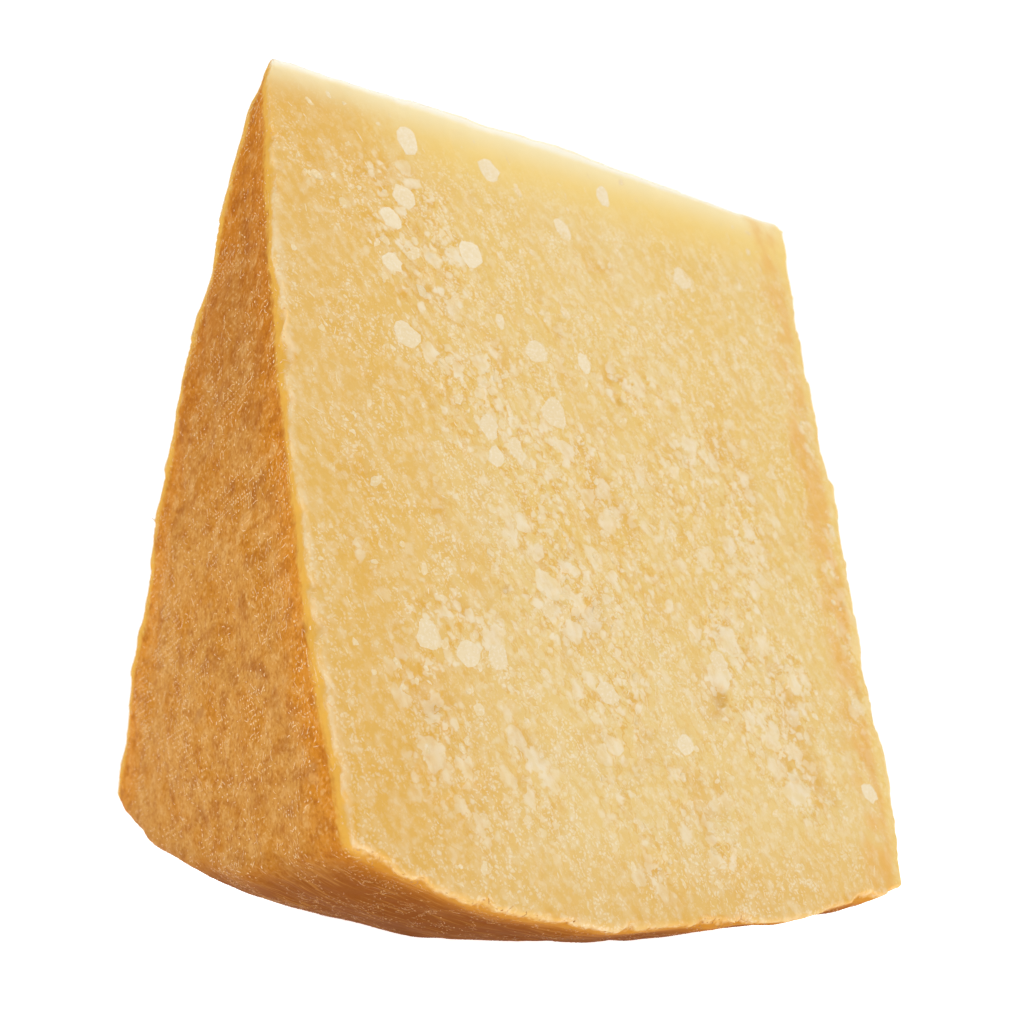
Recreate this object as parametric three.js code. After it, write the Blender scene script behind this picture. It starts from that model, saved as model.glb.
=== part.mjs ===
// A chunk of hard, grainy cheese, split by hand from a large drum-shaped wheel.
// One solid: two rough split faces meet in a narrow ridge, the wheel's flat rind closes one end,
// its bulging side rind is the underside, and a rough break closes the other end.
// Millimetres, +Z up, +X along the ridge away from the flat rind, the near split face towards -Y.
import * as THREE from 'three';
import { mergeVertices } from 'three/addons/utils/BufferGeometryUtils.js';
import { ImprovedNoise } from 'three/addons/math/ImprovedNoise.js';

// The chunk and its place in the wheel. The wheel's axis runs along the ridge, high above it.
const chunkDepth = 140;              // from the ridge down to the fullest part of the side rind
const ridgeLength = 110.0;           // from the flat rind to the broken end
const ridgeToAxis = 75.6;            // from the ridge up to the wheel's axis
const nearFaceOffset = 2.9;          // how far the near face's plane misses the axis
const ridgeWidth = 6.6;              // blunt top between the two split faces
const wedgeAngle = THREE.MathUtils.degToRad(44.3);

// Flat rind: level near the ridge, then a shallow dome down to the shoulder.
const flatRindTop = -1.1;            // x of its highest, levellest part
const levelDepth = 14;               // how far below the ridge the dome starts
const domeDrop = 13.5;               // how far it would fall back over the whole depth
const domePower = 1.6;

// Side rind: a barrel, fullest between the shoulder and the broken end.
const crestX = 55;
const shoulderCurve = 93;            // radius of the curve from the crest to the shoulder
const barrelCurve = 280;             // radius of the curve from the crest to the broken end
const shoulderX = 11.0;
const shoulderDepth = 129.2;
const cornerCut = 2.2;               // soft corner between the broken end and the side rind
const shoulderSwell = 2.0;           // the shoulder is fuller towards the far face
const farCornerWear = 2.0;           // and rubbed round at the far corner,
const farCornerReach = 0.08;         // over this share of the far face's length and depth

// Broken end and ridge, neither quite straight.
const endSpread = 6.2;               // the broken end leans out this far on its way down,
const endSpreadPower = 0.8;          // most of it near the ridge
const ridgeBow = 0.8;
const ridgeRound = 2.9;              // how far the blunt top falls to its two edges,
const ridgeRoundFade = 6;            // and how quickly that dies away down the faces

// How it stands: on the side rind, leaning back, with a small spot pressed flat.
const leanBack = THREE.MathUtils.degToRad(11.8);
const ridgeFall = THREE.MathUtils.degToRad(1.2);
const flatSpotDepth = 1.0;

// Relief of the surfaces.
const splitSwell = 0.8;              // slow swells of a face that was split, not sliced
const splitSwellLength = 34;
const flakeHeight = 1.0;             // flakes that the split leaves standing, either way
const flakeTilt = 0.5;               // how much a flake leans out of the face
const flakeWidth = 7.5;
const flakeStretch = 1.8;            // flakes are longer than wide
const flakeTurn = THREE.MathUtils.degToRad(62);
const crumblyPatch = 42;             // size of the patches where the paste crumbles most
const patchEdge = 0.25;              // how softly those patches end
const calmShare = 0.4;               // relief that is left between those patches
const edgeCalm = 9;                  // beside the rind the paste splits cleaner, over this width
const rindSwell = 0.9;               // shallow dents of the cloth-moulded rind
const rindSwellLength = 15;
const rindGrain = 0.35;
const rindGrainLength = 7;
const patternShift = { swell: 7.3, patch: 4.1, dents: 5.9, grain: 2.3 };   // keep them apart
const farShift = 300;                // and keep the flakes of the three rough faces apart
const endShift = -300;

// Mesh steps along the ridge, through the thickness, and from ridge to rind.
const stepsAlong = 33;
const stepsThrough = 18;
const stepsDown = 38;

const { lerp, smoothstep, clamp, seededRandom } = THREE.MathUtils;
const noise = new ImprovedNoise();

// ---- Outline of the near face, as x along the ridge and depth below it ----

function flatRindX(depth) {
  const fallen = Math.max(0, depth - levelDepth) / (chunkDepth - levelDepth);
  return flatRindTop + domeDrop * fallen ** domePower;
}

function brokenEndX(depth) {
  return ridgeLength + endSpread * (depth / chunkDepth) ** endSpreadPower;
}

function sideRindDepth(x) {
  const curve = x < crestX ? shoulderCurve : barrelCurve;
  return chunkDepth - (x - crestX) ** 2 / (2 * curve);
}

// The four edges of that outline, each as a function of 0..1.
const cornerX = brokenEndX(chunkDepth) - cornerCut;
const cornerDepth = sideRindDepth(cornerX) - cornerCut;
const edges = {
  ridge: (u) => [
    lerp(flatRindX(0), ridgeLength, u),
    -ridgeBow * Math.sin(Math.PI * u),
  ],
  side: (u) => {
    const x = lerp(shoulderX, cornerX, u);
    const soft = smoothstep(u, 1 - 2 / stepsAlong, 1) * cornerCut;
    return [x, u === 0 ? shoulderDepth : sideRindDepth(x) - soft];
  },
  rind: (w) => {
    const depth = shoulderDepth * w;
    return [w === 1 ? shoulderX : flatRindX(depth), depth];
  },
  end: (w) => {
    const depth = cornerDepth * w;
    return [w === 1 ? cornerX : brokenEndX(depth), depth];
  },
};

// Blends the four edges into one smooth patch.
function outlinePoint(u, w) {
  const top = edges.ridge(u);
  const bottom = edges.side(u);
  const left = edges.rind(w);
  const right = edges.end(w);
  return [0, 1].map((k) => {
    const between = lerp(top[k], bottom[k], w) + lerp(left[k], right[k], u);
    const corners = lerp(
      lerp(edges.ridge(0)[k], edges.ridge(1)[k], u),
      lerp(edges.side(0)[k], edges.side(1)[k], u),
      w,
    );
    return between - corners;
  });
}

// ---- From the outline to the solid: sweep it round the wheel's axis ----

// Distance from the wheel's axis to the far split face's plane.
const farFaceOffset = ridgeToAxis * Math.sin(wedgeAngle)
  + (nearFaceOffset - ridgeWidth) * Math.cos(wedgeAngle);

// v is 0 on the near split face and 1 on the far one.
function sweptPoint(u, v, w) {
  const [x, depth] = outlinePoint(u, w);
  const across = 2 * v - 1;
  const roundedTop = ridgeRound * (1 - Math.sqrt(1 - across ** 2)) * (1 - w) ** ridgeRoundFade;
  const fuller = shoulderSwell * Math.sin(Math.PI * v ** 2) * (1 - u) ** 2 * w ** 4;
  const radius = Math.hypot(depth + roundedTop + fuller + ridgeToAxis, nearFaceOffset);
  const near = -Math.asin(nearFaceOffset / radius);
  const wear = smoothstep(1 - u, 1 - farCornerReach, 1) * smoothstep(w, 1 - farCornerReach, 1);
  const far = wedgeAngle - Math.asin(farFaceOffset / radius) - (farCornerWear * wear) / radius;
  const angle = lerp(near, far, v);
  return new THREE.Vector3(x, radius * Math.sin(angle), -radius * Math.cos(angle));
}

// ---- Relief ----

// A steady random number from 0 to 1 for a cell of the flake pattern.
function cellRandom(column, row, draw) {
  return seededRandom(column * 7919 + row * 104729 + draw * 1299709);
}

// Height of the flake under a point: every flake has its own level and its own lean.
function flakeLevel(along, cross) {
  let nearest = Infinity;
  let level = 0;
  for (let column = Math.floor(along) - 1; column <= Math.floor(along) + 1; column += 1) {
    for (let row = Math.floor(cross) - 1; row <= Math.floor(cross) + 1; row += 1) {
      const offAlong = along - column - cellRandom(column, row, 1);
      const offCross = cross - row - cellRandom(column, row, 2);
      const distance = Math.hypot(offAlong, offCross);
      if (distance < nearest) {
        nearest = distance;
        const lean = flakeTilt * (offCross + (cellRandom(column, row, 3) - 0.5) * offAlong);
        level = 2 * cellRandom(column, row, 4) - 1 + lean;
      }
    }
  }
  return level;
}

// Smooth bumps of one length. The shift picks a part of the pattern.
function bumps(p, length, shift) {
  return noise.noise(p.x / length + shift, p.y / length, p.z / length);
}

// Crags and flakes of a split face, laid along the grain and calmer beside the rind.
// across is the distance along the face, square to the wheel's radius.
function splitRelief(p, across, calm) {
  const down = Math.hypot(p.y, p.z);
  const along = across * Math.cos(flakeTurn) + down * Math.sin(flakeTurn);
  const cross = across * Math.sin(flakeTurn) - down * Math.cos(flakeTurn);
  const swell = bumps(p, splitSwellLength, patternShift.swell);
  const patch = bumps(p, crumblyPatch, patternShift.patch);
  const crumbly = lerp(calmShare, 1, smoothstep(patch, -patchEdge, patchEdge));
  const flake = flakeLevel(along / (flakeWidth * flakeStretch), cross / flakeWidth);
  return calm * (splitSwell * swell + flakeHeight * crumbly * flake);
}

function rindRelief(p) {
  const dents = bumps(p, rindSwellLength, patternShift.dents);
  const grain = bumps(p, rindGrainLength, patternShift.grain);
  return rindSwell * dents + rindGrain * grain;
}

// Each side of the solid: where it lies, the way it faces, and its relief.
const farNormal = new THREE.Vector3(0, Math.cos(wedgeAngle), Math.sin(wedgeAngle));
const sides = [
  {
    has: (u, v) => v === 0,
    normal: () => new THREE.Vector3(0, -1, 0),
    relief: (p, calm) => splitRelief(p, p.x, calm),
  },
  {
    has: (u, v) => v === 1,
    normal: () => farNormal,
    relief: (p, calm) => splitRelief(p, p.x + farShift, calm),
  },
  {
    has: (u) => u === 1,
    normal: () => new THREE.Vector3(1, 0, 0),
    relief: (p, calm) => splitRelief(p, p.y + endShift, calm),
  },
  {
    has: (u) => u === 0,
    normal: () => new THREE.Vector3(-1, 0, 0),
    relief: rindRelief,
  },
  {
    has: (u, v, w) => w === 1,
    normal: (p) => new THREE.Vector3(0, p.y, p.z).normalize(),
    relief: rindRelief,
  },
  {
    has: (u, v, w) => w === 0,
    normal: () => new THREE.Vector3(0, 0, 1),
    relief: rindRelief,
  },
];

// Moves a point by the relief of every side that it is on, so the edges stay closed.
function roughen(p, u, v, w) {
  const moved = p.clone();
  const toRind = Math.min(u * ridgeLength, (1 - w) * chunkDepth);
  const calm = lerp(calmShare, 1, smoothstep(toRind, 0, edgeCalm));
  for (const side of sides) {
    if (side.has(u, v, w)) moved.addScaledVector(side.normal(p), side.relief(p, calm));
  }
  return moved;
}

// ---- The solid ----

function chunkGeometry() {
  const block = new THREE.BoxGeometry(1, 1, 1, stepsAlong, stepsThrough, stepsDown);
  block.deleteAttribute('normal');
  block.deleteAttribute('uv');
  const geometry = mergeVertices(block);
  const place = geometry.attributes.position;
  for (let i = 0; i < place.count; i += 1) {
    const u = clamp(place.getX(i) + 0.5, 0, 1);
    const v = clamp(place.getY(i) + 0.5, 0, 1);
    const w = clamp(0.5 - place.getZ(i), 0, 1);
    const p = roughen(sweptPoint(u, v, w), u, v, w);
    place.setXYZ(i, p.x, p.y, p.z);
  }
  return geometry;
}

// Leans the chunk the way it balances, presses the flat spot, and centres its box over the origin.
function standUp(geometry) {
  geometry.rotateX(-leanBack);
  geometry.rotateY(ridgeFall);
  geometry.computeBoundingBox();
  const ground = geometry.boundingBox.min.z + flatSpotDepth;
  const place = geometry.attributes.position;
  for (let i = 0; i < place.count; i += 1) place.setZ(i, Math.max(place.getZ(i), ground));
  geometry.computeBoundingBox();
  const { min, max } = geometry.boundingBox;
  geometry.translate(-(min.x + max.x) / 2, -(min.y + max.y) / 2, -min.z);
  geometry.computeVertexNormals();
  return geometry;
}

const cheese = new THREE.MeshStandardMaterial({ color: 0xe8c680, roughness: 0.62, metalness: 0 });
const chunk = new THREE.Mesh(standUp(chunkGeometry()), cheese);
chunk.name = 'parmesan_chunk';

const group = new THREE.Group();
group.name = 'parmesan';
group.add(chunk);

export default group;
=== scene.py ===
# %% [markdown]
# # A chunk of parmesan
# A chunk like this is split, not sliced, from a big drum-shaped wheel. It has two rough split
# faces that meet in a narrow ridge, a flat rind at one end, the wheel's bulging side rind as its
# underside, and a rough break at the other end.
# The lesson follows the real thing: turn the wheel, split the chunk out of it, crumble its
# faces, then add the crystals and loose flakes, and paint it all with procedural materials.

# %% Load the fixed frame
import math
import random

import bpy
import numpy as np
from mathutils import Matrix, Vector, noise
from mathutils.bvhtree import BVHTree
from mathutils.kdtree import KDTree


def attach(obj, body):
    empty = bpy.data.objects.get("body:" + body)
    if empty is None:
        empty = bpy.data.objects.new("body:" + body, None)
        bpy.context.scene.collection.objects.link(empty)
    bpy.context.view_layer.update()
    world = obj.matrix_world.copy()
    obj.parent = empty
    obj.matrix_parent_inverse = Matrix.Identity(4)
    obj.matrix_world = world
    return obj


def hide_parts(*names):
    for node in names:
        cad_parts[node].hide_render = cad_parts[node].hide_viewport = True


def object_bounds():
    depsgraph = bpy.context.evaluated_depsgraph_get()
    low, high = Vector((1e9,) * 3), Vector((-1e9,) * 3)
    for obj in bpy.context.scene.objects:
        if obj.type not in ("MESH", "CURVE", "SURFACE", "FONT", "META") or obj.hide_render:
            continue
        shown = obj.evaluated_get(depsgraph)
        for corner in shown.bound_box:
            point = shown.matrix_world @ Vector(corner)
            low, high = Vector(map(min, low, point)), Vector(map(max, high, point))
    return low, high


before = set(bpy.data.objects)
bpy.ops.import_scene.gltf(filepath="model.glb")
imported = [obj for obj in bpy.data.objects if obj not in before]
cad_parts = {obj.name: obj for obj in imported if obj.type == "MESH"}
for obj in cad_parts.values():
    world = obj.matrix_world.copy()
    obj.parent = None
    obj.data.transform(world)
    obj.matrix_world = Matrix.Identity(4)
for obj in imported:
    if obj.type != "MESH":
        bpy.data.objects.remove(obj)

mm = 0.001
noise.seed_set(6)                     # noise_vector would start from the clock without it
cad_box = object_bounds()
bpy.ops.object.select_all(action="DESELECT")
print("CAD box in mm:", [[round(c / mm, 1) for c in corner] for corner in cad_box])

# %% [markdown]
# ## The studio
# The chunk stands on a plain white table and is seen from just above the table, a little from
# below its ridge. A table that is as bright as the wall behind it hides the line between them.
# It is a light table, lit from below, so it stays pure white right up to the food and shows no
# shadow. A 50 mm lens gives a gentle perspective.

# %% Camera
camera_place = Vector((-133.4, -235.6, 22.8)) * mm
look_round = math.radians(31.37)      # from +Y towards +X
look_up = math.radians(11.50)
camera_roll = math.radians(1.80)

bpy.ops.object.camera_add(location=camera_place)
camera = bpy.context.object
aim = (
    Matrix.Rotation(-look_round, 3, "Z")
    @ Matrix.Rotation(math.radians(90) + look_up, 3, "X")
    @ Matrix.Rotation(camera_roll, 3, "Z")
)
camera.rotation_euler = aim.to_euler()
camera.data.lens = 50
camera.data.sensor_width = 36
camera.data.clip_start = 10 * mm
camera.data.dof.use_dof = True        # sharp at the near rind, a little soft at the far edge
camera.data.dof.focus_distance = 218 * mm
camera.data.dof.aperture_fstop = 30
bpy.context.scene.camera = camera
print("camera at, in mm:", [round(c / mm, 1) for c in camera_place])

# %% Table, white room and soft lights
table_glow = 1.02                     # above 1, so that it is white even in a shadow
room_light = 1.16

bpy.context.scene.view_settings.view_transform = "Standard"
bpy.ops.mesh.primitive_plane_add(size=12, location=(0, 0, -0.05 * mm))
table = bpy.context.object
table.name = "table"
table_white = bpy.data.materials.new("table_white")
table_white.use_nodes = True
paint = table_white.node_tree.nodes["Principled BSDF"]
paint.inputs["Base Color"].default_value = (0.8, 0.8, 0.795, 1)
paint.inputs["Roughness"].default_value = 0.9
paint.inputs["Emission Color"].default_value = (1, 1, 1, 1)
paint.inputs["Emission Strength"].default_value = table_glow
table.data.materials.append(table_white)

room = bpy.data.worlds.new("white_room")
room.use_nodes = True
room.node_tree.nodes["Background"].inputs["Color"].default_value = (1, 1, 1, 1)
room.node_tree.nodes["Background"].inputs["Strength"].default_value = room_light
bpy.context.scene.world = room


def soft_light(name, place, target, size, watts):
    """A square softbox at a place, turned to a target, both in millimetres."""
    bpy.ops.object.light_add(type="AREA", location=Vector(place) * mm)
    light = bpy.context.object
    light.name = name
    light.data.size = size * mm
    light.data.energy = watts
    towards = (Vector(target) - Vector(place)).normalized()
    light.rotation_euler = towards.to_track_quat("-Z", "Y").to_euler()


soft_light("top_softbox", (40, -60, 600), (0, 0, 60), 320, 1.5)
soft_light("back_softbox", (430, 300, 300), (30, 0, 70), 260, 0.4)

# %% [markdown]
# ## The chunk's shape
# On the wheel, the flat rind is a shallow dome and the side rind a barrel. So the outline of half
# a slice of the wheel is drawn once, as four curves, and spun about the wheel's axis. Two flat
# cuts then split the chunk out of the ring, just as two blades do in the dairy.
# Here the wheel's axis is the X axis, and `depth` is the distance below the chunk's ridge.

# %% Sizes of the chunk and of its place in the wheel
chunk_depth = 140 * mm
ridge_length = 110 * mm
ridge_to_axis = 75.6 * mm
near_face_offset = 2.9 * mm           # how far the near face's plane misses the axis
ridge_width = 6.6 * mm
wedge_angle = math.radians(44.3)
ridge_bow = 0.8 * mm

flat_rind_top = -1.1 * mm             # the flat rind: level, then a shallow dome
level_depth = 14 * mm
dome_drop = 13.5 * mm
dome_power = 1.6

crest_x = 55 * mm                     # the side rind: a barrel with a tighter shoulder
shoulder_curve = 93 * mm
barrel_curve = 310 * mm
shoulder_x = 11 * mm
shoulder_depth = 129.2 * mm

end_spread = 6.2 * mm                 # the broken end leans out on its way down
end_spread_power = 0.8
corner_cut = 1.0 * mm                 # the soft corner between broken end and side rind,
corner_reach = 0.06                   # and its share of the side rind's line


def flat_rind_x(depth):
    fallen = np.maximum(0, depth - level_depth) / (chunk_depth - level_depth)
    return flat_rind_top + dome_drop * fallen ** dome_power


def broken_end_x(depth):
    return ridge_length + end_spread * np.clip(depth / chunk_depth, 0, 1.1) ** end_spread_power


def side_rind_depth(x):
    curve = np.where(x < crest_x, shoulder_curve, barrel_curve)
    return chunk_depth - (x - crest_x) ** 2 / (2 * curve)


def ease(value, low, high):
    """0 below low, 1 above high, and a smooth climb between them."""
    t = np.clip((value - low) / (high - low), 0, 1)
    return t * t * (3 - 2 * t)


# %% Draw half a slice of the wheel
corner_x = broken_end_x(chunk_depth) - corner_cut
corner_depth = side_rind_depth(corner_x) - corner_cut


def ridge_line(t):
    x = flat_rind_x(0) + (ridge_length - flat_rind_x(0)) * t
    return x, -ridge_bow * math.sin(math.pi * t)


def end_line(t):
    return broken_end_x(corner_depth * t), corner_depth * t


def side_line(t):
    x = corner_x + (shoulder_x - corner_x) * t
    return x, side_rind_depth(x) - corner_cut * (1 - ease(t, 0, corner_reach))


def rind_line(t):
    depth = shoulder_depth * (1 - t)
    return flat_rind_x(depth), depth


steps_per_line = 40

lines = [ridge_line, end_line, side_line, rind_line]
bpy.ops.mesh.primitive_circle_add(
    vertices=steps_per_line * len(lines), radius=chunk_depth, fill_type="NGON"
)
body = bpy.context.object
body.name = "cheese_body"
for i, vertex in enumerate(body.data.vertices):
    line, step = divmod(i, steps_per_line)
    x, depth = lines[line](step / steps_per_line)
    vertex.co = (x, 0, -(depth + ridge_to_axis))
print("half a slice:", len(body.data.vertices), "points")

# %% Spin it, then split the chunk out with two cuts
first_angle = math.radians(-4)        # a little more than the chunk needs at either end
last_angle = math.radians(34)
far_face_offset = (
    ridge_to_axis * math.sin(wedge_angle)
    + (near_face_offset - ridge_width) * math.cos(wedge_angle)
)
near_normal = Vector((0, -1, 0))
far_normal = Vector((0, math.cos(wedge_angle), math.sin(wedge_angle)))

bpy.ops.object.mode_set(mode="EDIT")
bpy.ops.mesh.select_all(action="SELECT")
# With no window, rotate and spin both turn the other way, so their angles change sign.
bpy.ops.transform.rotate(value=-first_angle, orient_axis="X", center_override=(0, 0, 0))
bpy.ops.mesh.spin(
    steps=18, angle=first_angle - last_angle, center=(0, 0, 0), axis=(1, 0, 0)
)
bpy.ops.mesh.select_all(action="SELECT")
bpy.ops.mesh.remove_doubles(threshold=0.001 * mm)
bpy.ops.mesh.normals_make_consistent(inside=False)
bpy.ops.mesh.bisect(
    plane_co=near_normal * near_face_offset, plane_no=near_normal,
    use_fill=True, clear_outer=True,
)
bpy.ops.mesh.select_all(action="SELECT")
bpy.ops.mesh.bisect(
    plane_co=-far_normal * far_face_offset, plane_no=far_normal,
    use_fill=True, clear_outer=True,
)
bpy.ops.object.mode_set(mode="OBJECT")
print("split out:", len(body.data.vertices), "vertices")

# %% [markdown]
# The ridge is blunt and rubbed round, so its two long edges get a bevel. They are found in code:
# both ends lie high up, on one of the two cut planes, and the edge runs along the ridge.

# %% Round the ridge
ridge_round = 2.9 * mm


def on_a_cut(point):
    near = abs(point.dot(near_normal) - near_face_offset)
    far = abs(point.dot(far_normal) + far_face_offset)
    return min(near, far) < 0.01 * mm


bpy.ops.object.mode_set(mode="EDIT")
bpy.ops.mesh.select_mode(type="EDGE")
bpy.ops.mesh.select_all(action="DESELECT")
bpy.ops.object.mode_set(mode="OBJECT")
points = [vertex.co for vertex in body.data.vertices]
for edge in body.data.edges:
    a, b = (points[i] for i in edge.vertices)
    high = min(a.z, b.z) > -ridge_to_axis - ridge_bow
    along = abs(a.x - b.x) > 0.1 * mm and abs(a.y - b.y) < 0.1 * mm
    edge.select = high and along and on_a_cut(a) and on_a_cut(b)
print("ridge edges:", sum(edge.select for edge in body.data.edges))
bpy.ops.object.mode_set(mode="EDIT")
bpy.ops.mesh.bevel(offset=ridge_round, segments=5, affect="EDGES")
bpy.ops.object.mode_set(mode="OBJECT")

# %% [markdown]
# ## Even skin
# Crumbling needs small faces of one size everywhere. A voxel remesh gives them, like a fine
# plaster cast, and a light smoothing takes its tiny steps away.

# %% Voxel remesh
skin_size = 0.95 * mm

remesh = body.modifiers.new("even_skin", "REMESH")
remesh.mode = "VOXEL"
remesh.voxel_size = skin_size
bpy.ops.object.modifier_apply(modifier=remesh.name)
soften = body.modifiers.new("soften", "SMOOTH")
soften.factor = 0.5
soften.iterations = 2
bpy.ops.object.modifier_apply(modifier=soften.name)
print("even skin:", len(body.data.vertices), "vertices")

# %% [markdown]
# ## Where the rind is, and where the paste crumbles
# Relief and colour both depend on the place: on the rind or on the paste, near the rind's edge,
# near the ridge, inside a crumbly band. All of it follows from the distances to the six surfaces
# that the chunk was made from, so these are worked out once, for all vertices together.

# %% Distances to the six surfaces, in metres, positive inwards


def distances(places):
    x, y, z = places.T
    depth = np.hypot(y, z) - ridge_to_axis
    return {
        "near": y + near_face_offset,
        "far": -far_face_offset - places @ np.array(far_normal),
        "end": broken_end_x(depth) - x,
        "ridge": depth + ridge_bow,
        "flat": x - flat_rind_x(depth),
        "side": side_rind_depth(x) - depth,
    }


places = np.empty(len(body.data.vertices) * 3, np.float32)
body.data.vertices.foreach_get("co", places)
places = places.reshape(-1, 3).astype(float)
to_surface = distances(places)
to_rind = np.minimum(to_surface["flat"], to_surface["side"])
to_split = np.minimum.reduce([to_surface[k] for k in ("near", "far", "end", "ridge")])
below_ridge = np.hypot(places[:, 1], places[:, 2]) - ridge_to_axis
print("on the rind:", round(float((to_rind < to_split).mean()), 2), "of the vertices")

# %% [markdown]
# The near face crumbles in a few long bands that follow the grain. Each is written as a soft
# ellipse: its middle along the ridge and below it, half its length and width, its slope, and how
# strongly it crumbles. The far face and the broken end get slow noise of the same size instead.

# %% Crumbly bands
crumbly_bands = [                     # x, depth, half length, half width in mm, slope, strength
    (25, 30, 20, 9, 72, 1.0),
    (38, 60, 18, 10, 52, 1.0),
    (50, 85, 24, 9, 66, 1.0),
    (56, 106, 10, 8, 80, 0.9),
    (30, 98, 10, 7, 20, 0.9),
    (83, 66, 15, 11, 50, 0.95),
    (88, 98, 20, 12, 60, 0.95),
    (64, 46, 16, 9, 50, 0.5),
    (72, 120, 12, 8, 40, 0.5),
    (14, 84, 22, 5, 84, 0.45),
    (110, 80, 46, 5, 86, 0.6),
    (62, 74, 46, 40, 60, 0.42),
    (25, 112, 17, 7, 72, 0.75),
    (40, 114, 16, 5, 66, 0.5),
    (60, 126, 12, 6, 60, 0.5),
    (76, 126, 12, 5, 60, 0.5),
    (94, 116, 12, 6, 62, 0.5),
]
patch_size = 30 * mm
small_patch = 7 * mm


def band_strength(x, depth):
    """How much the bands loosen the near face, at millimetres along and below the ridge."""
    strongest = 0.0
    for middle_x, middle_depth, length, width, slope, strength in crumbly_bands:
        turn = math.radians(slope)
        dx, dy = x - middle_x, depth - middle_depth
        along = (dx * math.cos(turn) + dy * math.sin(turn)) / length
        cross = (dx * math.sin(turn) - dy * math.cos(turn)) / width
        inside = 1 - ease(math.hypot(along, cross), 0.0, 1.6)
        strongest = max(strongest, strength * inside)
    return strongest


def crumbliness(face, place):
    """0 for smooth paste, 1 for loose crumbs, at a point of the wheel."""
    patches = noise.noise(place / small_patch) + 0.5 * noise.noise(place / (0.4 * small_patch))
    if face == "near":
        depth = math.hypot(place.y, place.z) - ridge_to_axis
        loose = 0.1 + band_strength(place.x / mm, depth / mm)
    else:
        loose = 0.3 + 0.9 * noise.noise(place / patch_size + Vector((3.1, 7.7, 1.3)))
    return min(1.0, max(0.0, loose * (1 + 0.9 * patches)))


# %% [markdown]
# ## Relief
# Paste that is split breaks along its grain: flat flakes, each at its own level and with its own
# lean, and small crumbs between them. Cell noise gives every flake one level; stretching the
# cells along the grain makes them long. The rind took the weave and the dents of its mould,
# which plain noise at three sizes describes well, and where it meets the near face it lost
# small bites when the chunk was split.

# %% The grain of each rough face
grain_slope = math.radians(60)        # of the flakes, down from the ridge
mid_angle = math.radians(15)          # half way between the two split faces
down_near = Vector((0, 0, -1))
down_far = Vector((0, math.sin(wedge_angle), -math.cos(wedge_angle)))
down_end = Vector((0, math.sin(mid_angle), -math.cos(mid_angle)))
along_ridge = Vector((1, 0, 0))
across_end = Vector((0, math.cos(mid_angle), math.sin(mid_angle)))

rough_faces = {                       # outward normal, the way across, the way down
    "near": (near_normal, along_ridge, down_near),
    "far": (far_normal, along_ridge, down_far),
    "end": (along_ridge, across_end, down_end),
}


def grain_axes(face):
    """The way along the grain, the way across it, and the outward normal."""
    normal, across, down = rough_faces[face]
    along = across * math.cos(grain_slope) + down * math.sin(grain_slope)
    return along, normal.cross(along), normal


def in_grain(face, place, length, width):
    """The place in units of a flake's length and width."""
    along, cross, normal = grain_axes(face)
    return Vector((
        place.dot(along) / length, place.dot(cross) / width, place.dot(normal) / width,
    ))


# %% Places of the crystals: named ones on the near face, scattered ones elsewhere
near_crystals = [                     # x, depth, length and width in mm
    (24, 9, 6.0, 3.6), (40, 10, 5.2, 3.9), (23, 21, 5.0, 4.4), (20, 26, 4.6, 3.6),
    (35, 29, 6.0, 4.4), (20, 35, 4.2, 3.4), (22, 48, 5.4, 4.4), (47, 45, 4.8, 4.2),
    (50, 56, 6.2, 4.8), (37, 61, 4.4, 3.4), (38, 66, 3.6, 3.0), (42, 64, 4.8, 2.8),
    (55, 18, 5.0, 3.0), (65, 8, 4.6, 2.8), (82, 21, 4.8, 3.8), (24, 98, 5.0, 3.8),
    (31, 100, 4.6, 4.4), (36, 100, 4.4, 3.6), (56, 104, 4.8, 3.4), (71, 111, 4.0, 3.4),
    (80, 96, 4.4, 3.2), (110, 117, 4.0, 3.0), (40, 41, 3.0, 2.0), (57, 45, 4.4, 2.6),
]
crystals_elsewhere = {"far": 26, "end": 9}
crystal_draw = random.Random(21)


def near_face_point(x, depth):
    """A point of the near face's plane, at millimetres along and below the ridge."""
    return Vector((x * mm, -near_face_offset, -(depth * mm + ridge_to_axis)))


def scattered_point(face, draw):
    """A random point of a rough face's plane, or None where it misses the chunk."""
    normal, across, down = rough_faces[face]
    if face == "end":
        y, depth = draw.uniform(-24, 88) * mm, draw.uniform(2, 136) * mm
        point = along_ridge * ridge_length + across * y + down * (depth + ridge_to_axis)
    else:
        x, depth = draw.uniform(2, 114) * mm, draw.uniform(3, 136) * mm
        start = near_face_offset if face == "near" else -far_face_offset
        foot = math.sqrt(max(0, (depth + ridge_to_axis) ** 2 - start ** 2))
        point = normal * start + along_ridge * x + down * foot
    gaps = distances(np.array([point]))
    clear = all(gap[0] > 1.5 * mm for name, gap in gaps.items() if name != face)
    return point if clear else None


crystal_spots = [                     # face, centre, length, width, turn from the grain
    ("near", near_face_point(x, depth), length * mm, width * mm, crystal_draw.uniform(-0.5, 0.5))
    for x, depth, length, width in near_crystals
]
for face, count in crystals_elsewhere.items():
    while count:
        spot = scattered_point(face, crystal_draw)
        if spot is not None:
            size = crystal_draw.uniform(3, 5.5) * mm
            narrow = crystal_draw.uniform(0.65, 0.95)
            crystal_spots.append((face, spot, size, size * narrow, crystal_draw.uniform(-0.6, 0.6)))
            count -= 1
crystal_tree = KDTree(len(crystal_spots))
for i, spot in enumerate(crystal_spots):
    crystal_tree.insert(spot[1], i)
crystal_tree.balance()
print("crystal places:", len(crystal_spots))

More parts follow.
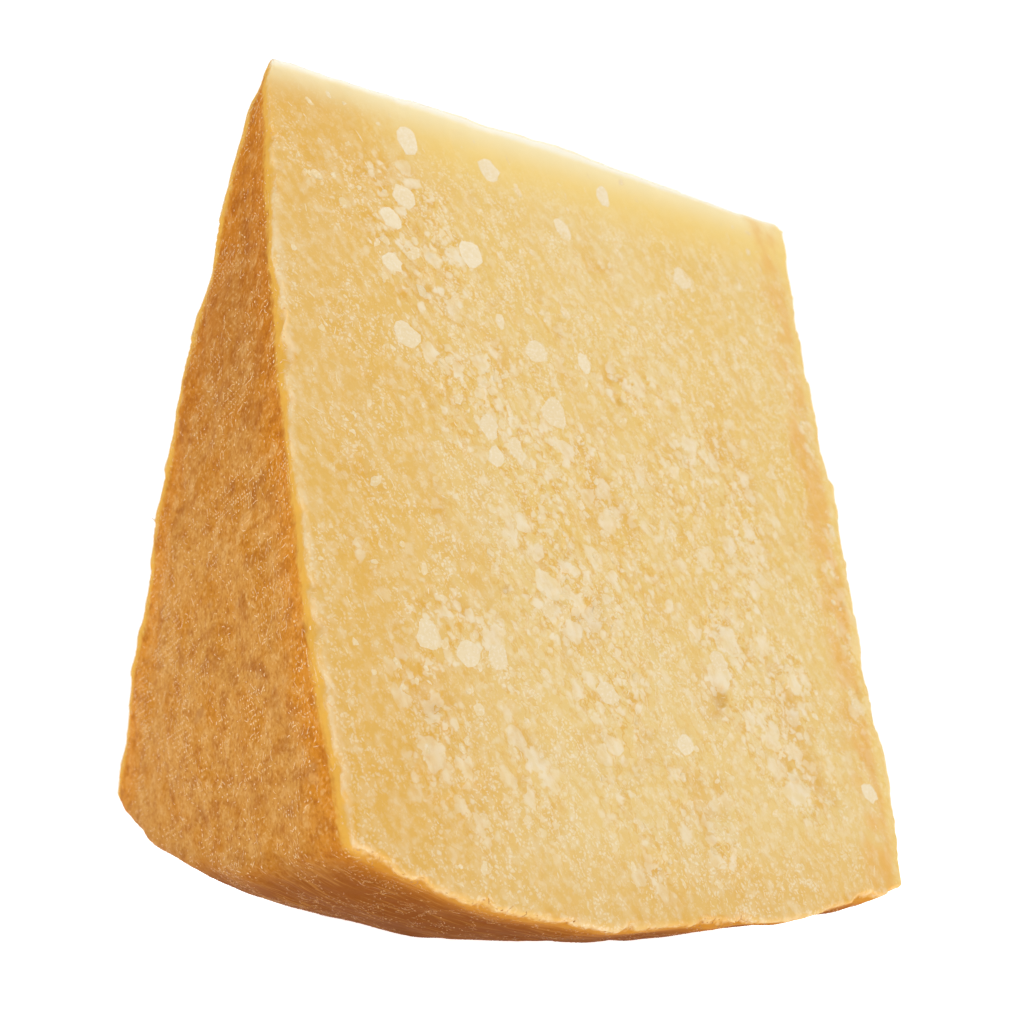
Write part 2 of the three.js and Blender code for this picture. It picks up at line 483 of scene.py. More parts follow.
# %% Heights of the split faces and of the rind
split_swell, split_swell_size = 0.8 * mm, 34 * mm
flake_height, flake_length, flake_width = 0.45 * mm, 11 * mm, 6 * mm
chip_height, chip_length, chip_width = 0.4 * mm, 4.6 * mm, 2.6 * mm
grain_height, grain_length, grain_width = 0.14 * mm, 3.2 * mm, 1.7 * mm
grain_bend, grain_bend_size = 2.2 * mm, 9 * mm        # flakes wander, so their rows aren't straight
rind_dents = [(0.8 * mm, 15 * mm), (0.35 * mm, 7 * mm), (0.16 * mm, 2.8 * mm)]


def flake_level(q):
    """Every cell has one level and one lean, both from -1 to 1."""
    centre = noise.voronoi(q)[1][0]
    lean = (q - centre).x * noise.cell(centre * 31) + (q - centre).y * noise.cell(centre * 57)
    return noise.cell(centre * 13) + 0.8 * lean


def split_height(face, place, crumbs):
    swell = noise.noise(place / split_swell_size + Vector((7.3, 0, 0)))
    bend = noise.noise_vector(place / grain_bend_size) * grain_bend
    flakes = flake_level(in_grain(face, place + bend, flake_length, flake_width))
    chips = flake_level(in_grain(face, place + bend * 0.4, chip_length, chip_width))
    grain = noise.noise(in_grain(face, place, grain_length, grain_width))
    fine = (
        flake_height * flakes * (0.35 + 0.65 * crumbs)
        + chip_height * chips * (0.08 + 0.92 * crumbs)
        + grain_height * grain
    )
    return split_swell * swell, fine


def rind_height(place):
    return sum(h * noise.noise(place / size + Vector((5.9, 1.7, 2.3))) for h, size in rind_dents)


# %% A fuller shoulder and a worn far corner
shoulder_swell = 2.0 * mm             # the shoulder is fuller towards the far face,
corner_wear = 2.0 * mm                # and the far corner is rubbed round
corner_wear_reach = 0.08

tip_wear = 1.0 * mm                   # the tip between ridge and flat rind is rubbed round too
tip_reach = 6 * mm

spoke = np.hypot(places[:, 1], places[:, 2])
angle = np.arctan2(places[:, 1], -places[:, 2])
near_angle = -np.arcsin(near_face_offset / spoke)
far_angle = wedge_angle - np.arcsin(far_face_offset / spoke)
through = np.clip((angle - near_angle) / (far_angle - near_angle), 0, 1)
along = np.clip(places[:, 0] / ridge_length, 0, 1)
down = np.clip(below_ridge / shoulder_depth, 0, 1)
swell = shoulder_swell * np.sin(math.pi * through**2) * (1 - along) ** 2 * down**4
wear = ease(1 - along, 1 - corner_wear_reach, 1) * ease(down, 1 - corner_wear_reach, 1)
outwards = np.column_stack([np.zeros_like(spoke), np.sin(angle), -np.cos(angle)])
sideways = np.column_stack([np.zeros_like(spoke), np.cos(angle), np.sin(angle)])
tip = ease(-below_ridge, -tip_reach, 0) * ease(-to_surface["flat"], -tip_reach, 0)
shaped = places + outwards * swell[:, None] - sideways * (corner_wear * wear * through)[:, None]
shaped += np.column_stack([tip, np.zeros_like(tip), -0.6 * tip]) * tip_wear

# %% Crumble the faces and dent the rind
reach = 1.6 * mm                      # how far the relief of one surface carries round an edge
faint = 0.02                          # a surface with a smaller share than this is left out
bite_depth, bite_size = 1.0 * mm, 3.6 * mm            # out of the rind beside the near face
held_by_rind = (0.5 * mm, 7 * mm)     # nearer to the rind than this the paste crumbles less
flat_at_crystal = (0.5, 1.2)          # in crystal lengths from its middle: smooth, then rough

share = {name: np.exp(-((d / reach) ** 2)) for name, d in to_surface.items()}
moved = shaped.copy()
level = np.zeros(len(places))
crumbs_here = np.zeros(len(places))
for i, place in enumerate(Vector(p) for p in places):
    for face, (normal, _, _) in rough_faces.items():
        if share[face][i] > faint:
            crumbs = crumbliness(face, place)
            crumbs *= float(ease(to_rind[i], *held_by_rind)) * 0.8 + 0.2
            swell, fine = split_height(face, place, crumbs)
            _, nearest, gap = crystal_tree.find(place)
            fine *= float(ease(gap / crystal_spots[nearest][2], *flat_at_crystal)) * 0.94 + 0.06
            moved[i] += np.array(normal) * (swell + fine) * share[face][i]
            level[i] += fine * share[face][i]
            crumbs_here[i] = max(crumbs_here[i], crumbs * share[face][i])
    for surface in ("flat", "side", "ridge"):
        if share[surface][i] > faint:
            height = rind_height(place)
            if surface != "ridge":
                bite = float(ease(noise.noise(place / bite_size), 0.05, 0.5))
                height -= bite_depth * bite * share["near"][i]
            out = {
                "flat": (-1, 0, 0),
                "side": np.array((0, place.y, place.z)) / math.hypot(place.y, place.z),
                "ridge": (0, 0, 1),
            }[surface]
            moved[i] += np.array(out) * height * share[surface][i]
            level[i] += height * share[surface][i]
body.data.vertices.foreach_set("co", moved.astype(np.float32).ravel())
print("levels in mm:", round(level.min() / mm, 2), "to", round(level.max() / mm, 2))

# %% [markdown]
# The materials need these places too. A mesh attribute carries one number per vertex into the
# shader, and it survives when the object is moved or exported. Besides the distances there is
# `warmth`, because paste near the rind is deeper in colour, above all in the corners, and
# `to_end`, because the near face, and only that one, has a dried band and a painted glow of
# light beside the broken end.

# %% Hand the places to the materials, in mm


def add_attribute(piece, name, values):
    attribute = piece.data.attributes.new(name, "FLOAT", "POINT")
    attribute.data.foreach_set("value", np.asarray(values, np.float32))


add_attribute(body, "rindness", (to_split - to_rind) / mm)   # + on the rind, - on the paste
add_attribute(body, "below_ridge", below_ridge / mm)
past_near = ease(to_surface["near"], 0.6 * mm, 3.5 * mm)     # 1 away from the near face
out_of_reach = 14 * mm
# to_end places the dried band and the painted glow beside the broken end
add_attribute(body, "to_end", (to_surface["end"] + out_of_reach * past_near) / mm)
on_side = ease(to_surface["flat"] - to_surface["side"], -4 * mm, 6 * mm)
add_attribute(body, "on_side", on_side)
to_flat, to_side = to_surface["flat"], to_surface["side"]
corners = np.maximum(ease(-to_side, -45 * mm, -10 * mm), ease(-below_ridge, -26 * mm, -6 * mm))
warmth = ease(-to_flat, -42 * mm, -3 * mm) * (0.65 + 0.25 * corners)
add_attribute(body, "warmth", np.maximum(warmth, 0.5 * ease(-to_side, -16 * mm, -2 * mm)))
add_attribute(body, "crumbly", crumbs_here)
add_attribute(body, "level", level / mm)
print("numbers for the materials:", [a.name for a in body.data.attributes if a.name[0] != "."])

# %% [markdown]
# ## Crystals
# Old parmesan is full of white crystals. The big ones on a split face are flat, rounded polygons
# 3 to 6 mm across, flush with the paste. One is modelled as a low lens, from a circle that is
# extruded and drawn in; the others are copies with their own size, turn and outline. A lens,
# unlike a slab, has no wall to throw a shadow, and its rim dips under the paste.

# %% Ways to set small things on the surface
body.data.update()
skin = BVHTree.FromPolygons(
    [v.co for v in body.data.vertices], [p.vertices for p in body.data.polygons]
)


def seat(face, point, size):
    """The centre and axes of a small plate that lies on the skin, resting on three feet."""
    along, cross, normal = grain_axes(face)
    feet = []
    for turn in (0, 120, 240):
        side = along * math.cos(math.radians(turn)) + cross * math.sin(math.radians(turn))
        foot, _, _, _ = skin.ray_cast(point + side * 0.4 * size + normal * 10 * mm, -normal)
        if foot is None:
            return None
        feet.append(foot)
    upright = (feet[1] - feet[0]).cross(feet[2] - feet[0]).normalized()
    if upright.dot(normal) < 0:
        upright.negate()
    lean = normal.rotation_difference(upright).to_matrix()
    return sum(feet, Vector()) / 3, lean @ Matrix((along, cross, normal)).transposed()


def joined(name, parts, shades):
    """One mesh from many (vertices, faces), with one shade number for each part."""
    vertices, faces, shade = [], [], []
    for (corners, polygons), tone in zip(parts, shades):
        first = len(vertices)
        vertices.extend(corners)
        faces.extend([first + k for k in polygon] for polygon in polygons)
        shade.extend([tone] * len(corners))
    mesh = bpy.data.meshes.new(name)
    mesh.from_pydata(vertices, [], faces)
    piece = bpy.data.objects.new(name, mesh)
    bpy.context.collection.objects.link(piece)
    add_attribute(piece, "shade", shade)
    return piece


# %% Model one crystal, one flake and one rind fibre
def plate(corner_count, steps):
    """A low lens one unit across: a circle, extruded up and drawn in once for each step."""
    bpy.ops.mesh.primitive_circle_add(vertices=corner_count, radius=0.5, fill_type="NGON")
    model = bpy.context.object
    bpy.ops.object.mode_set(mode="EDIT")
    for rise, draw_in in steps:
        bpy.ops.mesh.extrude_region_move(TRANSFORM_OT_translate={"value": (0, 0, rise)})
        bpy.ops.transform.resize(value=(draw_in, draw_in, 1), center_override=(0, 0, 0))
    bpy.ops.mesh.select_all(action="SELECT")
    bpy.ops.mesh.normals_make_consistent(inside=False)
    bpy.ops.object.mode_set(mode="OBJECT")
    corners = [v.co.copy() for v in model.data.vertices]
    polygons = [tuple(p.vertices) for p in model.data.polygons]
    bpy.data.objects.remove(model)
    return corners, polygons


crystal_model = plate(12, [(0.10, 0.97), (0.012, 0.84), (0.004, 0.6)])
flake_model = plate(7, [(0.10, 0.9), (0.03, 0.6)])
fibre_model = plate(6, [(0.25, 0.65)])
print("faces of a crystal, a flake and a fibre:",
      [len(model[1]) for model in (crystal_model, flake_model, fibre_model)])


def set_down(model, point, axes, length, width, turn, jag, sink, curve, draw):
    """A copy of a lens on a face: stretched, turned from the grain, curved, ragged."""
    corners, polygons = model
    spin = Matrix.Rotation(turn, 3, "Z")
    ragged = {}
    placed = []
    for corner in corners:
        way = round(math.degrees(math.atan2(corner.y, corner.x)) / 16)
        if way not in ragged:
            ragged[way] = 1 + draw.uniform(-jag, jag)
        x, y = corner.x * length * ragged[way], corner.y * width * ragged[way]
        z = (corner.z - sink) * min(length, width)
        placed.append(point + axes @ (spin @ Vector((x, y + curve * x * x / length, z))))
    return placed, polygons


# %% Set the crystals in the paste
crystals, crystal_tones = [], []
for face, centre, length, width, turn in crystal_spots:
    seated = seat(face, centre, length)
    if seated is None:
        continue
    crystals.append(set_down(crystal_model, *seated, length, width, turn,
                             jag=0.17, sink=0.1, curve=0.1, draw=crystal_draw))
    crystal_tones.append(crystal_draw.random())
crystal_piece = joined("crystals", crystals, crystal_tones)
print("crystals:", len(crystals))

# %% [markdown]
# ## Loose flakes
# Between the bands the paste stays whole, but in them it breaks into pale, ragged chips of 1 to
# 3 mm that lie along the grain, with thin slivers everywhere. They are copies of one small
# plate, more than a thousand, joined into one mesh. A seeded draw picks their places, and
# crumbly paste gets more of them. The long ones are a little deeper in colour, because a large
# pale plate would look stuck on.

# %% Scatter the flakes
flake_tries = 9000
shortest_flake, usual_flake, longest_flake = 0.7 * mm, 1.2 * mm, 3.4 * mm
sliver_share, sliver_width = 0.4, 0.22 * mm
flake_draw = random.Random(8)

flakes, flake_tones = [], []
for _ in range(flake_tries):
    face = flake_draw.choices(["near", "far", "end"], weights=[5, 5, 3])[0]
    flat_point = scattered_point(face, flake_draw)
    if flat_point is None:
        continue
    sliver = flake_draw.random() < sliver_share
    looseness = crumbliness(face, flat_point)
    if flake_draw.random() > (0.3 if sliver else 0.03 + 0.6 * looseness ** 1.4):
        continue
    length = flake_draw.triangular(shortest_flake, longest_flake, usual_flake)
    width = sliver_width if sliver else length * flake_draw.uniform(0.4, 0.85)
    seated = seat(face, flat_point, length)
    if seated is None:
        continue
    flakes.append(set_down(flake_model, *seated, length, width,
                           flake_draw.gauss(0, 0.3 if sliver else 0.5), jag=0.3, sink=0.1,
                           curve=flake_draw.gauss(0, 0.3), draw=flake_draw))
    flake_tones.append(0.5 * flake_draw.random() + 0.5 * length / longest_flake)
flake_piece = joined("flakes", flakes, flake_tones)
print("flakes:", len(flakes), "faces:", len(flake_piece.data.polygons))

# %% [markdown]
# ## How it will stand
# The chunk stands on its round side rind and leans back a little, ridge up, because its weight
# sits behind the near face. So far everything was made about the wheel's axis; one matrix turns
# it and moves it to where it stands.

# %% From the wheel to the table
lean_back = math.radians(11.8)
ridge_fall = math.radians(1.2)
wheel_centre = Vector((-54.61, -11.73, 216.29)) * mm

turned = Matrix.Rotation(ridge_fall, 4, "Y") @ Matrix.Rotation(-lean_back, 4, "X")
stand_up = Matrix.Translation(wheel_centre) @ turned
print("the ridge ends up at, in mm:",
      [round(c / mm, 1) for c in stand_up @ Vector((0, 0, -ridge_to_axis))])

# %% [markdown]
# ## Fibres of the rind
# The rind was wrapped in cloth when it was young, and brushing it later raised thousands of
# short pale fibres and flecks. They lie every way, so painting them with one stretched noise
# would look like wood. Real little slivers, set on random faces of the rind, mix freely.
# A shade number above 1 makes those on the side rind darker: painted shade of the underside.

# %% Scatter the fibres
fibre_count = 8400
fibre_patch = 9 * mm
fibre_width = 0.17 * mm
bare_height = 1 * mm                  # there are none on the spot that the chunk stands on
fibre_draw = random.Random(4)

rind_faces = [p for p in body.data.polygons if (to_split - to_rind)[p.vertices[0]] > 0.3 * mm]
fibres, fibre_tones = [], []
for polygon in fibre_draw.sample(rind_faces, min(len(rind_faces), 3 * fibre_count)):
    centre, outward = polygon.center, polygon.normal
    if (stand_up @ centre).z < bare_height:
        continue
    cluster = noise.noise(centre / fibre_patch) + 0.4 * noise.noise(centre / (0.3 * fibre_patch))
    if fibre_draw.random() > 0.32 + 0.9 * cluster:
        continue
    beside = outward.orthogonal().normalized()
    axes = Matrix((beside, outward.cross(beside), outward)).transposed()
    speck = fibre_draw.random() < 0.5
    length = fibre_draw.uniform(0.3, 0.7 if speck else 2.0) * mm
    width = fibre_draw.uniform(0.22, 0.4) * mm if speck else fibre_width
    fibres.append(set_down(fibre_model, Vector(centre), axes, length, width,
                           fibre_draw.uniform(0, math.pi), jag=0.4, sink=0.1,
                           curve=fibre_draw.gauss(0, 0.35), draw=fibre_draw))
    # on the side rind the number goes above 1: a darker copy, painted shade
    fibre_tones.append(fibre_draw.random() ** 0.6 + on_side[polygon.vertices[0]])
fibre_piece = joined("rind_fibres", fibres, fibre_tones)
print("fibres:", len(fibres), "faces:", len(fibre_piece.data.polygons))

# %% [markdown]
# ## Stand it up
# Every piece gets the same turn and move. The soft rind flattens into a small spot where it
# touches the table, and every vertex is held inside the solid's box.

# %% Turn every piece and move it into the frame
pieces = [body, crystal_piece, flake_piece, fibre_piece]
for piece in pieces:
    piece.data.transform(stand_up)
low, high = (Vector(corner) for corner in cad_box)
for piece in pieces:
    for vertex in piece.data.vertices:
        vertex.co = [min(max(c, a), b) for c, a, b in zip(vertex.co, low, high)]
    piece.data.update()
for piece in pieces:
    bpy.ops.object.select_all(action="DESELECT")
    piece.select_set(True)
    bpy.context.view_layer.objects.active = piece
    if piece is body:
        bpy.ops.object.shade_smooth()
    else:
        bpy.ops.object.shade_smooth_by_angle(angle=math.radians(30))
print("pieces:", [piece.name for piece in pieces])

# %% [markdown]
# ## Materials
# Each material is a short recipe of nodes. The helper below keeps a recipe readable: one call
# makes one node and returns its output, so steps can be nested like plain functions.
# All patterns read Object coordinates in millimetres, or the numbers handed over above.

# %% Recipe helper
room_gain = 1.72                      # how much brighter than its paint the near face looks


def shade_of(red, green, blue, gain=room_gain):
    """The paint that looks like a screen colour, 0 to 255, under the lights of this studio."""
    return tuple(
        (c / 12.92 if c <= 0.04045 else ((c + 0.055) / 1.055) ** 2.4) / gain
        for c in (red / 255, green / 255, blue / 255)
    ) + (1.0,)


class Recipe:
    """A material as a list of steps. Each method adds one node and returns its output."""

    def __init__(self, name):
        self.material = bpy.data.materials.new(name)
        self.material.use_nodes = True
        self.nodes = self.material.node_tree.nodes
        self.links = self.material.node_tree.links
        self.surface = self.nodes["Principled BSDF"]

    def node(self, kind, inputs, **settings):
        node = self.nodes.new("ShaderNode" + kind)
        for key, value in settings.items():
            setattr(node, key, value)
        for key, value in inputs.items():
            if isinstance(value, bpy.types.NodeSocket):
                self.links.new(value, node.inputs[key])
            else:
                node.inputs[key].default_value = value
        return node

    def number(self, name):
        return self.node("Attribute", {}, attribute_name=name).outputs["Fac"]

    def math(self, operation, first, *others):
        """One number from several: their product, say, or the largest of them."""
        for other in others or (0.0,):
            first = self.node("Math", {0: first, 1: other}, operation=operation).outputs[0]
        return first

    def ease(self, value, low, high, start=0.0, end=1.0):
        return self.node("MapRange", {
            "Value": value, "From Min": low, "From Max": high, "To Min": start, "To Max": end,
        }, interpolation_type="SMOOTHSTEP").outputs["Result"]

    def coats(self, colour, *coats):
        """A ground colour under coats of paint, each given as its share and its colour."""
        for share, coat in coats:
            colour = self.node("Mix", {"Factor": share, 6: colour, 7: coat},
                               data_type="RGBA").outputs[2]
        return colour

    def turned(self, along, cross, normal):
        """Object coordinates in millimetres, along a grain, across it and out of the face."""
        place = self.node("TexCoord", {}).outputs["Object"]
        axes = Matrix((along, cross, normal)).transposed().to_euler()
        return self.node("Mapping", {
            "Vector": place, "Rotation": axes, "Scale": (mm, mm, mm),
        }, vector_type="TEXTURE").outputs[0]

    def scaled(self, space, *sizes):
        """Divides coordinates by a pattern's sizes."""
        return self.node("VectorMath", {0: space, 1: [1 / s for s in sizes]},
                         operation="MULTIPLY").outputs[0]

    def warped(self, space, size, amount):
        """Coordinates pushed about by noise, for ragged outlines."""
        push = self.node("TexNoise", {"Vector": self.scaled(space, size, size, size),
                                      "Scale": 1.0, "Detail": 1.0}).outputs["Color"]
        centred = self.node("VectorMath", {0: push, 1: (0.5, 0.5, 0.5)},
                            operation="SUBTRACT").outputs[0]
        return self.node("VectorMath", {0: centred, 1: (amount,) * 3, 2: space},
                         operation="MULTIPLY_ADD").outputs[0]

    def noise(self, space, sizes, detail=2.0):
        return self.node("TexNoise", {"Vector": self.scaled(space, *sizes), "Scale": 1.0,
                                      "Detail": detail}).outputs["Fac"]

    def cells(self, space, sizes):
        return self.node("TexVoronoi", {"Vector": self.scaled(space, *sizes), "Scale": 1.0})

    def finish(self, **inputs):
        for key, value in inputs.items():
            socket = self.surface.inputs[key.replace("_", " ")]
            if isinstance(value, bpy.types.NodeSocket):
                self.links.new(value, socket)
            else:
                socket.default_value = value

    def bump(self, height, distance, strength):
        bump = self.node("Bump", {"Height": height, "Distance": distance,
                                  "Strength": strength}).outputs[0]
        self.links.new(bump, self.surface.inputs["Normal"])


# %% [markdown]
# ### Paste and rind
# One skin carries both finishes, because on the real chunk they are one solid. The paste is
# straw-yellow and lets light in; pale chips and amber hollows alternate where it crumbles. The
# rind is the same cheese dried hard: brown, mottled, covered with fine pale fibres.

# %% Colours
straw = shade_of(236, 199, 119)
straw_pale = shade_of(237, 205, 136)
warm_straw = shade_of(230, 180, 88)
amber = shade_of(228, 170, 58)
cream = shade_of(244, 229, 198)
# painted glow, standing in for light through the thin ridge and the edge by the broken end
glow_yellow = shade_of(247, 214, 130)
glow_cream = shade_of(249, 234, 188)
edge_orange = shade_of(238, 180, 92)
dusty = shade_of(250, 240, 218)

# near-white painted highlight along the ridge's rim
glow_gain = 1.70
glow_white = shade_of(249, 243, 224, glow_gain)

rind_gain = 1.60                      # the flat rind faces away from the lights
rind_brown = shade_of(200, 128, 24, rind_gain)
rind_tan = shade_of(209, 149, 68, rind_gain)
rind_pale = shade_of(234, 188, 120, rind_gain)
rind_orange = shade_of(220, 136, 14, rind_gain)
rind_dark = shade_of(158, 80, 4, rind_gain)
rind_spot = shade_of(152, 76, 4, rind_gain)
rind_gold = shade_of(238, 184, 80)
# partly the side rind's own brown, partly painted shade of the underside
side_brown_and_shade = shade_of(146, 76, 2)
side_gold = shade_of(206, 130, 24)

# %% Ground colour of the paste
cheese = Recipe("cheese_paste_and_rind")
to_frame = turned.to_3x3()
grain = cheese.turned(*(to_frame @ axis for axis in grain_axes("near")))
rindness = cheese.number("rindness")
inside = cheese.math("MULTIPLY", rindness, -1.0)
depth_here = cheese.number("below_ridge")
end_here = cheese.number("to_end")
side_here = cheese.number("on_side")
warm_here = cheese.number("warmth")
crumbly = cheese.number("crumbly")
raised = cheese.number("level")

cloud = cheese.noise(grain, (30, 9, 9))
paste = cheese.coats(
    straw,
    (cheese.ease(cloud, 0.36, 0.64), straw_pale),
    (cheese.ease(depth_here, 76, 116, 0, 0.8), straw_pale),
    (warm_here, warm_straw),
)

# %% [markdown]
# In the paste everything is soft: pale flakes of three sizes show through its surface, with
# amber cracks between them, partly the paste's own colour and partly painted shade. Cell noise
# gives round spots when only the middle of each cell is used, and the cell's own random number
# decides how far that middle reaches.

# %% Amber cracks and hollows, partly painted shade
ragged = cheese.warped(grain, 1.1, 1.2)
crease = cheese.math("SUBTRACT", cheese.noise(ragged, (5, 1.8, 1.8)), 0.5)
# cracks and hollows are partly the paste's own amber and partly painted shade between flakes
crack = cheese.math(
    "MULTIPLY",
    cheese.ease(cheese.math("ABSOLUTE", crease), 0.05, 0.0),
    cheese.ease(crumbly, 0, 0.8, 0.12, 0.62),
)
hollow = cheese.math(
    "MULTIPLY",
    cheese.ease(cheese.noise(ragged, (3.4, 2.0, 2.0), 3.0), 0.54, 0.7),
    cheese.ease(crumbly, 0.1, 0.8, 0.06, 0.66),
)
# painted shade: the low places of the relief are painted amber
sunk_shade = cheese.ease(raised, 0.0, -0.6, 0, 0.6)
paste = cheese.coats(paste, (cheese.math("MAXIMUM", crack, hollow, sunk_shade), amber))


# %% Pale flakes of three sizes
def spots(space, sizes, reach, softness):
    """Soft round spots of random size. A longer reach gives more and larger ones."""
    cells = cheese.cells(space, sizes)
    number = cheese.node("SeparateColor", {"Color": cells.outputs["Color"]}).outputs[0]
    radius = cheese.math("MULTIPLY", number, reach)
    edge = cheese.math("SUBTRACT", cells.outputs["Distance"], radius)
    return cheese.ease(edge, softness, -softness)


torn = cheese.warped(cheese.warped(grain, 2.6, 2.4), 0.7, 0.8)
crumb_share = cheese.ease(crumbly, 0, 0.9)
large = spots(torn, (4.6, 3.0, 3.0), cheese.ease(crumb_share, 0, 1, 0.3, 0.66), 0.07)
middling = spots(ragged, (1.9, 1.3, 1.3), cheese.ease(crumb_share, 0, 1, 0.38, 0.6), 0.14)
specks = spots(ragged, (0.6, 0.4, 0.4), 0.62, 0.16)
speck_patch = cheese.ease(cheese.noise(grain, (9, 6, 6)), 0.4, 0.62, 0.2, 0.58)
mottle = cheese.ease(cheese.noise(grain, (2.4, 1.5, 1.5), 4.0), 0.3, 0.7, -0.16, 0.3)

pale = cheese.math("MULTIPLY", cheese.math("MAXIMUM", large, middling), 0.6,
                   cheese.ease(crumb_share, 0, 1, 0.45, 1))
pale = cheese.math("MAXIMUM", pale, cheese.math("MULTIPLY", specks, speck_patch))
pale = cheese.math("MULTIPLY", cheese.math("ADD", pale, mottle),
                   cheese.ease(depth_here, 2, 18, 0.3, 1),
                   cheese.ease(warm_here, 0.2, 0.9, 1, 0.72))
paste = cheese.coats(paste, (pale, cream))

# %% [markdown]
# The ridge is rubbed smooth and shows few flakes. Its yellow, then cream, and almost white rim
# are painted glow, standing in for light that shines through the thin ridge. Beside the broken
# end the near face has an orange band and a paler lip, the lip a painted glow too. And just
# inside the rind runs a broken, pale line of dry crumbs.

# %% The smooth ridge and its painted glow
# painted glow along the ridge: yellow, then cream, then near white at the rim
ridge_glow_zone = cheese.math("MULTIPLY", cheese.ease(depth_here, 18, 6, 0, 0.75),
                         cheese.ease(inside, 5, 40, 0.05, 1))
rim = cheese.math("MULTIPLY", cheese.ease(depth_here, 2.4, 0.4), cheese.ease(depth_here, -0.5, 0.4))
paste = cheese.coats(
    paste,
    (ridge_glow_zone, glow_yellow),
    (cheese.ease(depth_here, 9, 0, 0, 0.95), glow_cream),
    (rim, glow_white),
)

# %% The dry edge at the broken end, and a painted glow along it
uneven = cheese.math("MULTIPLY", cheese.noise(grain, (6, 4, 4)), 4.0)
ragged_end = cheese.math("ADD", end_here, uneven)
end_band = cheese.math(
    "MULTIPLY",
    cheese.ease(ragged_end, 13, 8), cheese.ease(ragged_end, 3.4, 5.4),
    cheese.ease(cheese.noise(grain, (7, 4, 4)), 0.38, 0.62, 0.05, 0.6),
)
paste = cheese.coats(
    paste,
    (end_band, edge_orange),
    # painted glow: a yellow, then cream lip right at the broken end
    (cheese.ease(end_here, 3.6, 1.2, 0, 0.5), glow_yellow),
    (cheese.ease(end_here, 1.0, 0, 0, 0.45), glow_cream),
)

# %% The pale line inside the rind
wander = cheese.noise(grain, (2.6, 1.4, 1.4), 3.0)
fuzz = cheese.math("ADD", inside, cheese.math("MULTIPLY", wander, 3.2))
pale_line = cheese.math(
    "MULTIPLY",
    cheese.ease(fuzz, 0.0, 1.2), cheese.ease(fuzz, 3.6, 1.6),
    cheese.ease(depth_here, 6, 40, 0, 0.44),
    cheese.ease(cheese.noise(grain, (4, 3, 3)), 0.36, 0.6, 0.2, 1),
    cheese.ease(side_here, 0.3, 1, 1, 0.3),
)
paste = cheese.coats(paste, (pale_line, cream))

# %% [markdown]
# The flat rind is brown with soft lighter and darker patches, darker towards the ridge and a
# little orange beside its edges. The side rind is darker still and streaked, and more golden
# towards the paste; its darkness is partly its own colour and partly painted shade, because it
# faces the table. All rind turns to gold where it meets the paste, along a ragged line: two
# noises, one coarse and one fine, are added to the distance before it is used.

# %% The flat rind
weave = cheese.turned(*(to_frame @ axis for axis in (down_near, Vector((0, 1, 0)), along_ridge)))
patch = cheese.noise(weave, (7, 9, 6), 3.0)
mist = cheese.noise(weave, (2.6, 4.4, 2.6), 5.0)
grit = cheese.noise(cheese.warped(weave, 1.6, 1.2), (0.6, 0.8, 0.6), 3.0)
blotch = cheese.noise(cheese.warped(weave, 3.0, 2.4), (6, 10, 6), 4.0)
rind = cheese.coats(
    rind_brown,
    (cheese.ease(patch, 0.32, 0.6, 0.2, 0.95), rind_tan),
    (cheese.ease(rindness, 16, 3, 0, 0.7), rind_orange),
    (cheese.ease(depth_here, 92, 24, 0.04, 0.46), rind_dark),
    (cheese.ease(depth_here, 44, 14, 0, 0.35), rind_orange),
    (cheese.ease(mist, 0.5, 0.34, 0, 0.42), rind_dark),
    (cheese.ease(mist, 0.54, 0.7, 0, 0.35), rind_pale),
    (cheese.ease(grit, 0.48, 0.32, 0, 0.45), rind_dark),
    (cheese.ease(grit, 0.52, 0.72, 0, 0.5), rind_pale),
    (cheese.ease(blotch, 0.58, 0.74, 0, 0.6), rind_spot),
)

# %% The side rind and the golden edge
frayed = cheese.noise(grain, (1.3, 0.8, 0.8), 3.0)
ragged_edge = cheese.math("ADD", rindness, cheese.math("MULTIPLY", wander, 1.6),
                          cheese.math("MULTIPLY", frayed, 2.6))
streak = cheese.ease(cheese.noise(weave, (3, 0.8, 7), 4.0), 0.5, 0.7, 0, 0.42)
gold_band = cheese.math("MULTIPLY", cheese.ease(ragged_edge, 6.4, 4.0, 0, 0.9),
                        cheese.ease(side_here, 0.2, 1, 1, 0.3))
rind = cheese.coats(
    rind,
    # painted shade on the underside, over the side rind's own darker brown
    (cheese.math("MULTIPLY", side_here, 0.92), side_brown_and_shade),
    (cheese.math("MULTIPLY", side_here, cheese.ease(ragged_edge, 12, 2.5), 0.8), side_gold),
    (cheese.math("MULTIPLY", side_here, streak), rind_tan),
    (gold_band, rind_gold),
)

# %% Put paste and rind together
rind_share = cheese.ease(ragged_edge, 2.2, 3.8)
cheese.bump(mist, 0.25 * mm, 0.5)
cheese.finish(
    Base_Color=cheese.coats(paste, (rind_share, rind)),
    Roughness=cheese.ease(rind_share, 0, 1, 0.5, 0.85),
    Subsurface_Weight=cheese.ease(rind_share, 0, 1, 0.8, 0.3),
    Specular_IOR_Level=0.06,
)
cheese.surface.subsurface_method = "BURLEY"
cheese.surface.inputs["Subsurface Radius"].default_value = (1.0, 0.7, 0.4)
cheese.surface.inputs["Subsurface Scale"].default_value = 1.1 * mm
body.data.materials.append(cheese.material)
print("paste and rind:", len(cheese.nodes), "nodes")

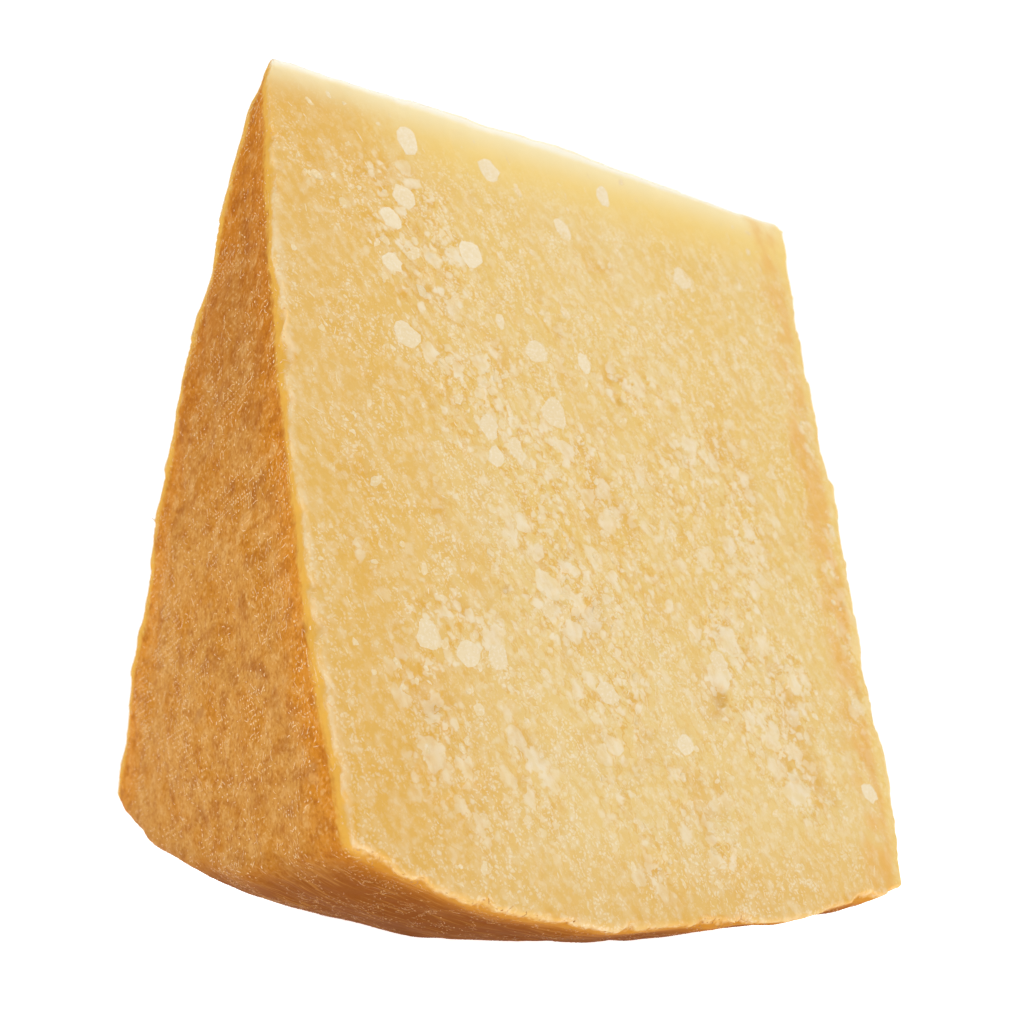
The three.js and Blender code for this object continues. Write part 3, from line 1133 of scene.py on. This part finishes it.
# %% [markdown]
# ### Crystals, flakes and fibres
# They are the cheese's own pale parts: the crystals even and matt, the flakes a little warmer,
# the fibres tanned like the rind. Each copy carries its own shade number, so that no two match.
# They are thin and let the light through, so they throw no shadow on the cheese and leave the
# light on it alone.


# %% Crystal, flake and fibre recipes
def pale_recipe(name, light, deep, patch, painted_shade_colour=None):
    """A dusty finish between two colours, in patches of a size in millimetres."""
    recipe = Recipe(name)
    space = recipe.scaled(recipe.node("TexCoord", {}).outputs["Object"], mm, mm, mm)
    cloud = recipe.noise(space, (patch,) * 3, 3.0)
    dust = recipe.noise(space, (0.35 * patch,) * 3, 2.0)
    tone = recipe.coats(
        light,
        (recipe.math("MULTIPLY", recipe.number("shade"), 0.9), deep),
        (recipe.ease(cloud, 0.4, 0.7, 0, 0.6), deep),
        (recipe.ease(dust, 0.45, 0.75, 0, 0.5), dusty),
    )
    # the darker copy is painted shade, for fibres on the side rind
    if painted_shade_colour:                        # a shade number above 1 means a darker copy
        beyond = recipe.math("SUBTRACT", recipe.number("shade"), 1.0)
        tone = recipe.coats(tone, (beyond, painted_shade_colour))
    recipe.bump(cloud, 0.1 * mm, 0.5)
    recipe.finish(Base_Color=tone, Roughness=0.5, Specular_IOR_Level=0.15)
    return recipe.material


crystal_piece.data.materials.append(
    pale_recipe("crystal_white", shade_of(244, 226, 190), shade_of(238, 213, 166), 1.2)
)
flake_piece.data.materials.append(
    pale_recipe("flake_cream", shade_of(242, 222, 182), shade_of(236, 204, 143), 1.1)
)
fibre_piece.data.materials.append(
    pale_recipe("fibre_tan", shade_of(246, 212, 160, rind_gain),
                shade_of(220, 166, 90, rind_gain), 0.8, painted_shade_colour=shade_of(172, 110, 36))
)
for piece in (crystal_piece, flake_piece, fibre_piece):
    piece.visible_shadow = False
    piece.visible_diffuse = False
    print(piece.name, "wears", piece.data.materials[0].name)

# %% [markdown]
# ## Hand over
# The body stands for the CAD solid, and all the pieces move with it.

# %% Riding, and hiding the CAD part
for piece in pieces:
    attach(piece, "root")
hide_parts("parmesan_chunk")

bpy.context.view_layer.update()
